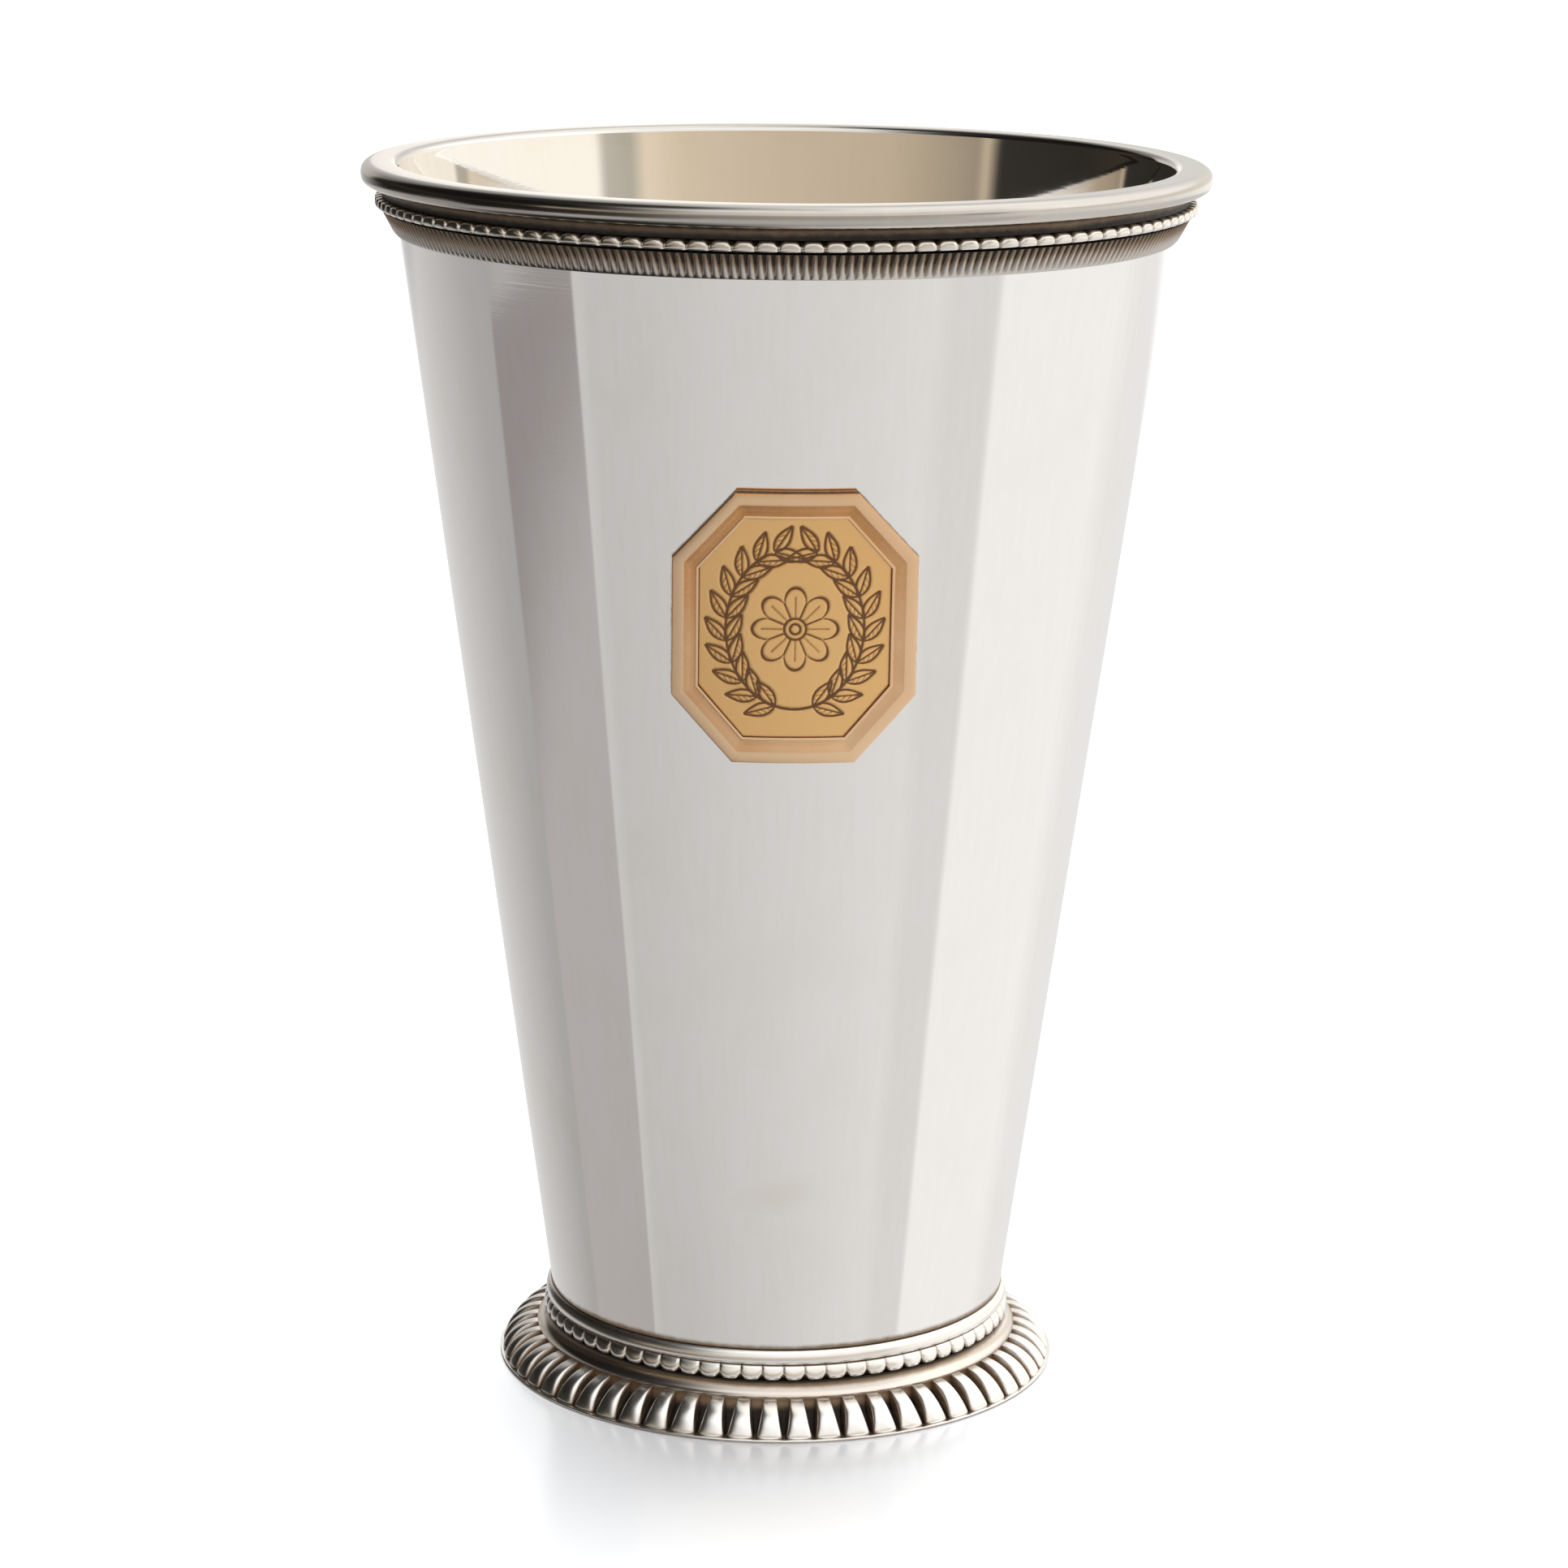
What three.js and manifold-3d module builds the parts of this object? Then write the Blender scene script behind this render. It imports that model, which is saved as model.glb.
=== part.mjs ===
// Silver beaker: a conical cup on a moulded foot, with a gold plaque applied to its front.
// Millimetres, +Z up. The foot stands on z = 0 and the plaque faces -Y.

import * as THREE from 'three';
import { mergeVertices } from 'three/addons/utils/BufferGeometryUtils.js';
import Module from 'manifold-3d';

// Cup: a straight conical wall over a flat floor
const wallHeight = 138;
const wallFootRadius = 28.4;
const wallTopRadius = 47.3;
const wallThickness = 1;
const floorThickness = 1.2;

// Rim rings, from the top down: height, how far each stands out from the wall, and repeats
const lipHeight = 2.4;
const lipOverhang = 3.7;
const cavettoHeight = 1.6;
const cavettoTopDepth = 2.9;
const cavettoFootDepth = 2.2;
const rimBeadHeight = 1.6;
const rimBeadDepth = 2.15;
const rimBeadCount = 120;
const fluteHeight = 3;
const fluteDepth = 1.5;
const fluteCount = 296;

// Foot rings, from the top down: height, and how far each stands out from the foot of the wall
const collarHeight = 1.85;
const collarOverhang = 0.65;
const footBeadHeight = 2;
const footBeadOverhang = 1.15;
const footBeadCount = 70;
const bandHeight = 1.85;
const bandTopOverhang = 0.5;
const bandFootOverhang = 1.8;
const gadroonHeight = 3.5;
const gadroonSwell = 4.5;
const gadroonCount = 60;
const baseWireHeight = 0.4;
const baseWireOverhang = 6.5;
const footRingWidth = 2.2;

// Plaque: an eight-sided plate with a bevelled frame, both bent to the wall
const plaqueWidth = 28;
const plaqueHeight = 32;
const plaqueTopEdge = 14.1;
const plaqueSideEdge = 16.5;
const plaqueCentreHeight = 101;
const plateThickness = 0.35;
const frameThickness = 0.45;
const frameFlat = 1.3;
const frameBevel = 1.7;

// Clearances: solder between a ring and the wall, and ledge under the floor
const solderGap = 0.25;
const floorLedge = 1.5;

// Fineness of turned pieces and of the surfaces that the plaque follows
const turnedSegments = 60;
const plaqueSegments = 180;

// Heights of the joints between the rings
const baseTop = baseWireHeight;
const gadroonTop = baseTop + gadroonHeight;
const bandTop = gadroonTop + bandHeight;
const footBeadTop = bandTop + footBeadHeight;
const cupFoot = footBeadTop + collarHeight;
const cupTop = cupFoot + wallHeight;
const cavettoFoot = cupTop - cavettoHeight;
const rimBeadFoot = cavettoFoot - rimBeadHeight;
const fluteFoot = rimBeadFoot - fluteHeight;

const silver = { color: 0xcbc9c5, roughness: 0.22, metalness: 1 };
const patinaSilver = { color: 0x9a938c, roughness: 0.35, metalness: 1 };
const gold = { color: 0xe0a963, roughness: 0.38, metalness: 1 };

const wasm = await Module();
wasm.setup();

// Outer radius of the cup's wall at a height
function wallRadius(z) {
  return wallFootRadius + (wallTopRadius - wallFootRadius) * (z - cupFoot) / wallHeight;
}

// Inner radius of a ring that is soldered round the wall
function seatRadius(z) {
  return wallRadius(z) + solderGap;
}

// Points of an elliptical arc in the [radius, height] plane, angles in degrees
function arc(centre, radii, from, to, steps) {
  const points = [];
  for (let i = 0; i <= steps; i++) {
    const angle = THREE.MathUtils.degToRad(from + (to - from) * i / steps);
    points.push([centre[0] + radii[0] * Math.cos(angle), centre[1] + radii[1] * Math.sin(angle)]);
  }
  return points;
}

// A turned piece: an outline that runs up the outside and down the inside, revolved about Z
function turned(outline, segments = turnedSegments) {
  const points = outline.map(([radius, z]) => new THREE.Vector2(radius, z));
  if (outline[0][0] > 0) points.push(points[0].clone());
  return new THREE.LatheGeometry(points, segments).rotateX(Math.PI / 2);
}

// A point at a radius, a height and an angle about Z
function polar(radius, z, angle) {
  return [radius * Math.cos(angle), radius * Math.sin(angle), z];
}

// A closed ring: sectionAt(column) gives the closed section there as [x, y, z] points
function ring(columns, sectionAt) {
  const size = sectionAt(0).length;
  const positions = [];
  const indices = [];
  for (let column = 0; column < columns; column++) {
    positions.push(...sectionAt(column).flat());
    const next = (column + 1) % columns;
    for (let i = 0; i < size; i++) {
      const a = column * size + i;
      const b = next * size + i;
      const c = next * size + (i + 1) % size;
      const d = column * size + (i + 1) % size;
      indices.push(a, b, c, a, c, d);
    }
  }
  return indexed(positions, indices);
}

function indexed(positions, indices) {
  const geometry = new THREE.BufferGeometry();
  geometry.setAttribute('position', new THREE.Float32BufferAttribute(positions, 3));
  geometry.setIndex(indices);
  geometry.computeVertexNormals();
  return geometry;
}

// The conical wall, open at both ends
function bodyWall() {
  return turned([
    [wallFootRadius, cupFoot],
    [wallTopRadius, cupTop],
    [wallTopRadius - wallThickness, cupTop],
    [wallFootRadius - wallThickness, cupFoot],
  ]);
}

// The floor: a disc that sits on the collar's ledge, its edge following the taper of the wall
function bodyFloor() {
  const inset = wallThickness + solderGap;
  return turned([
    [0, cupFoot],
    [wallRadius(cupFoot) - inset, cupFoot],
    [wallRadius(cupFoot + floorThickness) - inset, cupFoot + floorThickness],
    [0, cupFoot + floorThickness],
  ]);
}

// The lip: half-round outside, flat on top, with the cup's inner face carried up inside it
function rimLip() {
  const edge = wallTopRadius + lipOverhang;
  const top = cupTop + lipHeight;
  const roll = lipHeight / 2;
  const ease = lipHeight * 0.4;
  const mouth = (z) => wallRadius(z) - wallThickness;
  return turned([
    ...arc([edge - roll, top - roll], [roll, roll], -90, 90, 4),
    [mouth(top) + ease, top],
    [mouth(top - ease), top - ease],
    [mouth(cupTop), cupTop],
  ]);
}

// The cavetto under the lip: a hollow that draws in towards the beads
function rimCavetto() {
  const top = wallRadius(cupTop) + cavettoTopDepth;
  const foot = wallRadius(cavettoFoot) + cavettoFootDepth;
  return turned([
    [seatRadius(cavettoFoot), cavettoFoot],
    ...arc([top, cavettoFoot], [top - foot, cavettoHeight], 180, 90, 3),
    [seatRadius(cupTop), cupTop],
  ]);
}

// A beaded wire: full round beads joined by necks, flat above and below where it meets its neighbours
function beadWire(count, foot, height, depth, innerRadius) {
  const neck = 0.55;
  return ring(count * 2, (column) => {
    const angle = Math.PI * column / count;
    const swell = column % 2 === 0 ? 1 : neck;
    const top = innerRadius(foot + height);
    const bottom = innerRadius(foot);
    const middle = (top + bottom) / 2;
    return [
      polar(bottom + depth * swell * 0.5, foot, angle),
      polar(middle + depth * swell, foot + height / 2, angle),
      polar(top + depth * swell * 0.5, foot + height, angle),
      polar(top, foot + height, angle),
      polar(bottom, foot, angle),
    ];
  });
}

// The beaded wire of the rim
function rimBeadWire() {
  return beadWire(rimBeadCount, rimBeadFoot, rimBeadHeight, rimBeadDepth, seatRadius);
}

// The fluted band: rounded tongues that lean in from under the beads to the wall
function rimFlutedBand() {
  const groove = 0.55;
  const tip = 0.2;
  return ring(fluteCount * 2, (column) => {
    const angle = Math.PI * column / fluteCount;
    const swell = column % 2 === 0 ? 1 : groove;
    return [
      polar(seatRadius(fluteFoot) + fluteDepth * swell * tip, fluteFoot, angle),
      polar(seatRadius(rimBeadFoot) + fluteDepth * swell, rimBeadFoot, angle),
      polar(seatRadius(rimBeadFoot), rimBeadFoot, angle),
    ];
  });
}

// The collar under the cup: rounded over outside, with a ledge inside that carries wall and floor
function footCollar() {
  const outer = wallFootRadius + collarOverhang;
  const inner = wallFootRadius - wallThickness - floorLedge;
  const round = collarHeight * 0.6;
  return turned([
    [outer, footBeadTop],
    ...arc([outer - round, cupFoot - round], [round, round], 0, 90, 2),
    [inner, cupFoot],
    [inner, footBeadTop],
  ]);
}

// The beaded wire of the foot
function footBeadWire() {
  const inner = wallFootRadius + footBeadOverhang - footRingWidth;
  return beadWire(footBeadCount, bandTop, footBeadHeight, footRingWidth, () => inner);
}

// The plain band of the foot: a hollow that sweeps out from under the beads to the gadroons
function footBand() {
  const top = wallFootRadius + bandTopOverhang;
  const foot = wallFootRadius + bandFootOverhang;
  return turned([
    ...arc([foot, bandTop], [foot - top, bandHeight], 270, 180, 2),
    [top - footRingWidth, bandTop],
    [foot - footRingWidth, gadroonTop],
  ]);
}

// The gadroons: each lobe leaves the band as a narrow ridge and swells to a full bulb at the base.
// Height runs from 0 at the base to 1 at the root; a lobe's section is groove, flank, crest, flank.
function footGadroonRing() {
  const root = wallFootRadius + bandFootOverhang;
  const inner = root - footRingWidth;
  const rows = [0, 0.4, 0.75, 1];
  const pitch = 2 * Math.PI / gadroonCount;
  const crest = (t) => root + gadroonSwell * Math.sqrt(1 - t * t);
  const groove = (t) => root + gadroonSwell * 0.65 * Math.pow(1 - t, 2);
  const halfWidth = (t) => pitch * (0.42 - 0.3 * t);
  return ring(gadroonCount * 4, (column) => {
    const station = column % 4;
    const middle = pitch * (Math.floor(column / 4) + 0.5);
    const side = station === 0 ? 0 : station - 2;
    const outside = rows.map((t) => {
      const lift = [0, 0.8, 1, 0.8][station];
      const radius = groove(t) + (crest(t) - groove(t)) * lift;
      const angle = station === 0 ? middle - pitch / 2 : middle + side * halfWidth(t);
      return polar(radius, baseTop + gadroonHeight * t, angle);
    });
    const angle = middle + (station - 2) * pitch / 4;
    return [...outside, polar(inner, gadroonTop, angle), polar(inner, baseTop, angle)];
  });
}

// The base wire that the beaker stands on
function footBaseWire() {
  const outer = wallFootRadius + baseWireOverhang;
  return turned([
    [outer, 0],
    [outer, baseTop],
    [outer - footRingWidth, baseTop],
    [outer - footRingWidth, 0],
  ]);
}

// The plaque's corners in front view as [x, z], drawn in by a margin all round
function plaqueCorners(margin) {
  const x = plaqueWidth / 2 - margin;
  const z = plaqueHeight / 2 - margin;
  const cut = margin * Math.tan(Math.PI / 8);
  const topX = plaqueTopEdge / 2 - cut;
  const sideZ = plaqueSideEdge / 2 - cut;
  const right = [[topX, -z], [x, -sideZ], [x, sideZ], [topX, z]];
  const left = right.map(([u, v]) => [-u, -v]);
  return [...right, ...left].map(([u, v]) => [u, plaqueCentreHeight + v]);
}

// The block that cuts the plate to its eight sides, from the axis out past the wall
function plaqueBlock() {
  const shape = new THREE.Shape(plaqueCorners(0).map(([x, z]) => new THREE.Vector2(x, z)));
  const block = new THREE.ExtrudeGeometry(shape, { depth: wallTopRadius * 2, bevelEnabled: false });
  return solid(block.rotateX(Math.PI / 2));
}

// A conical layer that follows the wall, from one distance off it to another
function wallLayer(from, to) {
  const low = plaqueCentreHeight - plaqueHeight;
  const high = plaqueCentreHeight + plaqueHeight;
  return solid(turned([
    [wallRadius(low) + to, low],
    [wallRadius(high) + to, high],
    [wallRadius(high) + from, high],
    [wallRadius(low) + from, low],
  ], plaqueSegments));
}

function solid(geometry) {
  geometry.deleteAttribute('normal');
  geometry.deleteAttribute('uv');
  const welded = mergeVertices(geometry, 1e-4);
  return new wasm.Manifold(new wasm.Mesh({
    numProp: 3,
    vertProperties: new Float32Array(welded.attributes.position.array),
    triVerts: new Uint32Array(welded.index.array),
  }));
}

// The plate that bears the plaque's field
function plaquePlate() {
  const layer = wallLayer(solderGap, solderGap + plateThickness);
  const { vertProperties, triVerts } = layer.intersect(plaqueBlock()).getMesh();
  return indexed(vertProperties, Array.from(triVerts));
}

// The frame on the plate: a flat outer border, then a bevel down to the field, mitred at the corners
function plaqueFrame() {
  const seat = 2 * solderGap + plateThickness;
  const steps = 4;
  const section = [
    [0, seat],
    [0, seat + frameThickness],
    [frameFlat, seat + frameThickness],
    [frameFlat + frameBevel, seat + frameThickness * 0.3],
    [frameFlat + frameBevel, seat],
  ];
  return ring(8 * steps, (column) => section.map(([margin, lift]) => {
    const corners = plaqueCorners(margin);
    const side = Math.floor(column / steps);
    const t = (column % steps) / steps;
    const x = THREE.MathUtils.lerp(corners[side][0], corners[(side + 1) % 8][0], t);
    const z = THREE.MathUtils.lerp(corners[side][1], corners[(side + 1) % 8][1], t);
    return [x, -Math.sqrt((wallRadius(z) + lift) ** 2 - x ** 2), z];
  }));
}

const beaker = new THREE.Group();

function addPart(name, geometry, finish) {
  const mesh = new THREE.Mesh(geometry, new THREE.MeshStandardMaterial(finish));
  mesh.name = name;
  beaker.add(mesh);
}

addPart('body_wall', bodyWall(), silver);
addPart('body_floor', bodyFloor(), silver);
addPart('rim_lip', rimLip(), silver);
addPart('rim_cavetto', rimCavetto(), patinaSilver);
addPart('rim_bead_wire', rimBeadWire(), patinaSilver);
addPart('rim_fluted_band', rimFlutedBand(), patinaSilver);
addPart('foot_collar', footCollar(), silver);
addPart('foot_bead_wire', footBeadWire(), patinaSilver);
addPart('foot_band', footBand(), silver);
addPart('foot_gadroon_ring', footGadroonRing(), patinaSilver);
addPart('foot_base_wire', footBaseWire(), silver);
addPart('plaque_plate', plaquePlate(), gold);
addPart('plaque_frame', plaqueFrame(), gold);

export default beaker;
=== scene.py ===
import math
import bpy
import numpy as np
from mathutils import Matrix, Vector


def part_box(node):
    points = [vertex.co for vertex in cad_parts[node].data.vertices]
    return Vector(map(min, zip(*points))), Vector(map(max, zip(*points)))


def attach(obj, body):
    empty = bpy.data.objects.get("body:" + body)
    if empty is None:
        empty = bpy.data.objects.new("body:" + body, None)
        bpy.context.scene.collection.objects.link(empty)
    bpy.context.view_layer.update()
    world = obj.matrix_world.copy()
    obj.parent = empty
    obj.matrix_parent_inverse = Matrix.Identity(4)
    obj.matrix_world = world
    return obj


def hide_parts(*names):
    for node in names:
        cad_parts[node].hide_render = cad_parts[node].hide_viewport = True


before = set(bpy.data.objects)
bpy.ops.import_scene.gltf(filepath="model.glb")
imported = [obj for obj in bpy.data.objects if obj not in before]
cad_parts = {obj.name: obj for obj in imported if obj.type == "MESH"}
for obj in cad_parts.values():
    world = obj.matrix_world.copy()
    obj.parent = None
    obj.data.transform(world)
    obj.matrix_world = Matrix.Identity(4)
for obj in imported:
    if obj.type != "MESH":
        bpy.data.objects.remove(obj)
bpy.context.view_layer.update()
mm = 0.001  # shapes are worked out in millimetres and stored in metres
sharpAngle = 38  # an edge that turns by more degrees than this stays sharp
roundAngle = 80  # the same for rows of small round lobes
print("frame loaded:", len(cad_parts), "nodes")


def ringSize(node):  # outer radius, foot and top of a turned node of the frame
    low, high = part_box(node)
    return high[0] / mm, low[2] / mm, high[2] / mm


def turn(columns):  # angles of one full turn, starting at the front
    return np.linspace(0, 2 * np.pi, columns, endpoint=False) - np.pi / 2


def arc(centre, radii, start, end, steps):  # elliptical arc in the radius and height plane, in degrees
    a = np.radians(np.linspace(start, end, steps))
    return np.stack([centre[0] + radii[0] * np.cos(a), centre[1] + radii[1] * np.sin(a)], 1)


def line(start, end, steps):  # straight stretch in the radius and height plane
    t = np.linspace(0, 1, steps)[:, None]
    return np.asarray(start) * (1 - t) + np.asarray(end) * t


def gridFaces(rows, columns):  # quads of a grid that closes along its columns
    i, j = np.meshgrid(np.arange(rows - 1), np.arange(columns), indexing="ij")
    k = (j + 1) % columns
    corners = [i * columns + j, i * columns + k, (i + 1) * columns + k, (i + 1) * columns + j]
    return np.stack(corners, -1).reshape(-1, 4)


def poleFaces(row, columns, pole, flip):  # triangles from one row of a grid to a pole point
    j = np.arange(columns)
    k = (j + 1) % columns
    first, second = (k, j) if flip else (j, k)
    return np.stack([row * columns + first, row * columns + second, np.full(columns, pole)], -1)


def addPiece(name, node, material, points, faces, attributes, sharp=sharpAngle):
    mesh = bpy.data.meshes.new(name)
    mesh.from_pydata((points * mm).tolist(), [], faces)
    mesh.shade_smooth()
    mesh.set_sharp_from_angle(angle=math.radians(sharp))
    for label, values in attributes.items():
        layer = mesh.attributes.new(label, "FLOAT", "POINT")
        layer.data.foreach_set("value", values.astype(np.float32).ravel())
    mesh.materials.append(material)
    piece = bpy.data.objects.new(name, mesh)
    bpy.context.scene.collection.objects.link(piece)
    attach(piece, "root")
    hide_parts(node)
    print("made", name, len(mesh.polygons), "faces")


def addRing(name, node, material, radius, height, angle, recess, sharp=sharpAngle, outside=0.0):
    # a tube round the axis: rows run up the outside of its section and down the inside, and the last row
    # closes on the first
    radius, height, angle, recess, outside = np.broadcast_arrays(radius, height, angle, recess, outside)
    rows, columns = radius.shape
    points = np.stack([radius * np.cos(angle), radius * np.sin(angle), height], -1).reshape(-1, 3)
    faces = gridFaces(rows + 1, columns) % (rows * columns)
    attributes = {"recess": recess, "outside": outside}
    addPiece(name, node, material, points, faces.tolist(), attributes, sharp)


def addTurned(name, node, material, profile, recess, columns, sharp=sharpAngle, outside=None):
    # a surface of revolution: (r cos a, r sin a, z) for each point (r, z) of a closed profile
    radius, height = profile[:, :1], profile[:, 1:]
    shown = 0.0 if outside is None else outside[:, None]
    addRing(name, node, material, radius, height, turn(columns)[None], recess[:, None], sharp, shown)


class Value:  # one output socket of a tree; arithmetic on it adds Math nodes
    def __init__(self, tree, socket):
        self.tree = tree
        self.socket = socket

    def math(self, operation, first, second=0.0):
        return self.tree.node("ShaderNodeMath", {"operation": operation}, {0: first, 1: second})

    def __add__(self, other):
        return self.math("ADD", self, other)

    def __radd__(self, other):
        return self.math("ADD", other, self)

    def __sub__(self, other):
        return self.math("SUBTRACT", self, other)

    def __rsub__(self, other):
        return self.math("SUBTRACT", other, self)

    def __mul__(self, other):
        return self.math("MULTIPLY", self, other)

    def __truediv__(self, other):
        return self.math("DIVIDE", self, other)

    def __abs__(self):
        return self.math("ABSOLUTE", self)

    def most(self, other):
        return self.math("MAXIMUM", self, other)

    def step(self, low, high):  # 0 below low, 1 above high, eased between
        return self.tree.node("ShaderNodeMapRange", {"interpolation_type": "SMOOTHSTEP"},
                              {"Value": self, "From Min": low, "From Max": high})


class Tree:  # a node tree that is filled one node at a time
    def __init__(self, owner):
        owner.use_nodes = True
        self.nodes = owner.node_tree.nodes
        self.links = owner.node_tree.links
        self.nodes.clear()

    def node(self, kind, settings=None, sockets=None, output=0):
        made = self.nodes.new(kind)
        for key, value in (settings or {}).items():
            if key == "stops":
                self.setStops(made.color_ramp, value)
            else:
                setattr(made, key, value)
        for key, value in (sockets or {}).items():
            if isinstance(value, Value):
                self.links.new(value.socket, made.inputs[key])
            else:
                made.inputs[key].default_value = value
        return Value(self, made.outputs[output]) if made.outputs else made

    def setStops(self, ramp, stops):
        while len(ramp.elements) < len(stops):
            ramp.elements.new(1.0)
        for element, (position, colour) in zip(ramp.elements, stops):
            element.position = position
            element.color = (*colour, 1.0)

    def attribute(self, name):  # a number stored on the mesh's points
        return self.node("ShaderNodeAttribute", {"attribute_name": name}, output="Fac")

    def parts(self, vector):  # the three numbers of a vector
        split = self.node("ShaderNodeSeparateXYZ", None, {0: vector}).socket.node
        return [Value(self, socket) for socket in split.outputs]

    def mix(self, factor, first, second):  # blend of two colours
        first, second = (c if isinstance(c, Value) else (*c, 1.0) for c in (first, second))
        return self.node("ShaderNodeMix", {"data_type": "RGBA"}, {0: factor, 6: first, 7: second}, 2)

    def noise(self, vector, scale, detail, roughness):
        sockets = {"Vector": vector, "Scale": scale, "Detail": detail, "Roughness": roughness}
        return self.node("ShaderNodeTexNoise", None, sockets)

    def stretch(self, vector, scale):
        return self.node("ShaderNodeMapping", None, {"Vector": vector, "Scale": scale})

    def bump(self, strength, distance, height):
        sockets = {"Strength": strength, "Distance": distance, "Height": height}
        return self.node("ShaderNodeBump", None, sockets)

    def surface(self, sockets):  # the tree's result, one principled shader
        shader = self.node("ShaderNodeBsdfPrincipled", None, sockets)
        self.node("ShaderNodeOutputMaterial", None, {"Surface": shader})


def linear(colour):  # photographed colour, 0 to 255, to the renderer's own scale
    c = np.asarray(colour, float) / 255
    return tuple(np.where(c <= 0.04045, c / 12.92, ((c + 0.055) / 1.055) ** 2.4))


plaque = {"topEdge": 14.1, "sideEdge": 16.5, "plateThickness": 0.35, "frameThickness": 0.45, "border": 3.0}
plaqueLow, plaqueHigh = (np.array(corner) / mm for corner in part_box("plaque_plate"))
plaqueMiddle = (plaqueLow[2] + plaqueHigh[2]) / 2


def plaqueCorners(margin):  # corners in front view, drawn in by a margin, anticlockwise from the lower right
    x = plaqueHigh[0] - margin
    z = plaqueHigh[2] - plaqueMiddle - margin
    cut = margin * math.tan(math.pi / 8)
    topX = plaque["topEdge"] / 2 - cut
    sideZ = plaque["sideEdge"] / 2 - cut
    right = np.array([(topX, -z), (x, -sideZ), (x, sideZ), (topX, z)])
    return np.concatenate([right, -right])


def plaqueDistance(across, up):  # how far outside the outline a place is, from its offsets to the middle
    lower, upper = plaqueCorners(0.0)[2:4] * mm
    slant = np.array([upper[1] - lower[1], lower[0] - upper[0]]) / np.linalg.norm(upper - lower)
    away = (across - lower[0]).most(up - upper[1])
    return away.most(across * slant[0] + up * slant[1] - float(slant @ lower))


finishes = {  # bright colour, share of tarnish, and roughness of each silver
    "wallSilver": ((0.93, 0.915, 0.90), 0.10, 0.025),
    "lipSilver": ((0.55, 0.525, 0.485), 0.25, 0.15),
    "rimSilver": ((0.80, 0.765, 0.72), 0.4, 0.18),
    "fluteSilver": ((0.58, 0.54, 0.50), 0.3, 0.26),
    "footSilver": ((0.97, 0.95, 0.92), 0.25, 0.24),
    "gadroonSilver": ((0.97, 0.95, 0.92), 0.3, 0.26),
    "bandSilver": ((0.76, 0.69, 0.625), 0.3, 0.2),
}
silverLook = {
    "tarnish": (0.80, 0.70, 0.54),
    "brown": (0.30, 0.215, 0.145),
    "patinaAndShade": (0.022, 0.016, 0.012),
    "cloud": (70.0, 4.0, 0.6),  # scale, detail and roughness of a noise
    "fine": (900.0, 3.0, 0.6),
    "turning": (1.0, 2.0, 0.5),
    "turningStretch": (50.0, 50.0, 3800.0),  # close rings up the axis
    "streak": (1.0, 3.0, 0.6),
    "streakStretch": (900.0, 900.0, 9.0),  # narrow and upright
    "cloudWear": 0.3,  # how far a noise moves the edge of the patina
    "fineWear": 0.16,
    "brownFrom": (0.22, 0.58),  # where a tone starts, and where it is full
    "darkFrom": (0.55, 0.92),
    "tarnishFrom": (0.48, 0.75),
    "streakFrom": (0.35, 0.8),
    "streakWarmth": 0.07,
    "frontFrom": (-0.02, -0.01),  # y at which the front ends, in metres
    "seamFrom": (-0.0002, 0.00022),  # distance outside the plaque, in metres
    "seamWaver": 0.0003,
    "stainPlace": (-0.7, 30.0),  # one yellow stain low on the front, x and z in mm
    "stainSize": (6.5, 3.2),
    "stainSlope": 0.2,
    "stainFrom": (-0.5, 1.0),
    "stainWaver": 0.8,
    "stainWarmth": 0.32,
    "roughen": {"warm": 0.1, "fine": 0.02, "turning": 0.01, "brown": 0.14, "dark": 0.2},
    "patinaAndShadeDull": 0.6,  # share of the metal that the black patina and painted shade hide
    "lineStrength": 0.18,
    "lineDepth": 0.000005,
    "fineDepth": 0.6,
}


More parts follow.
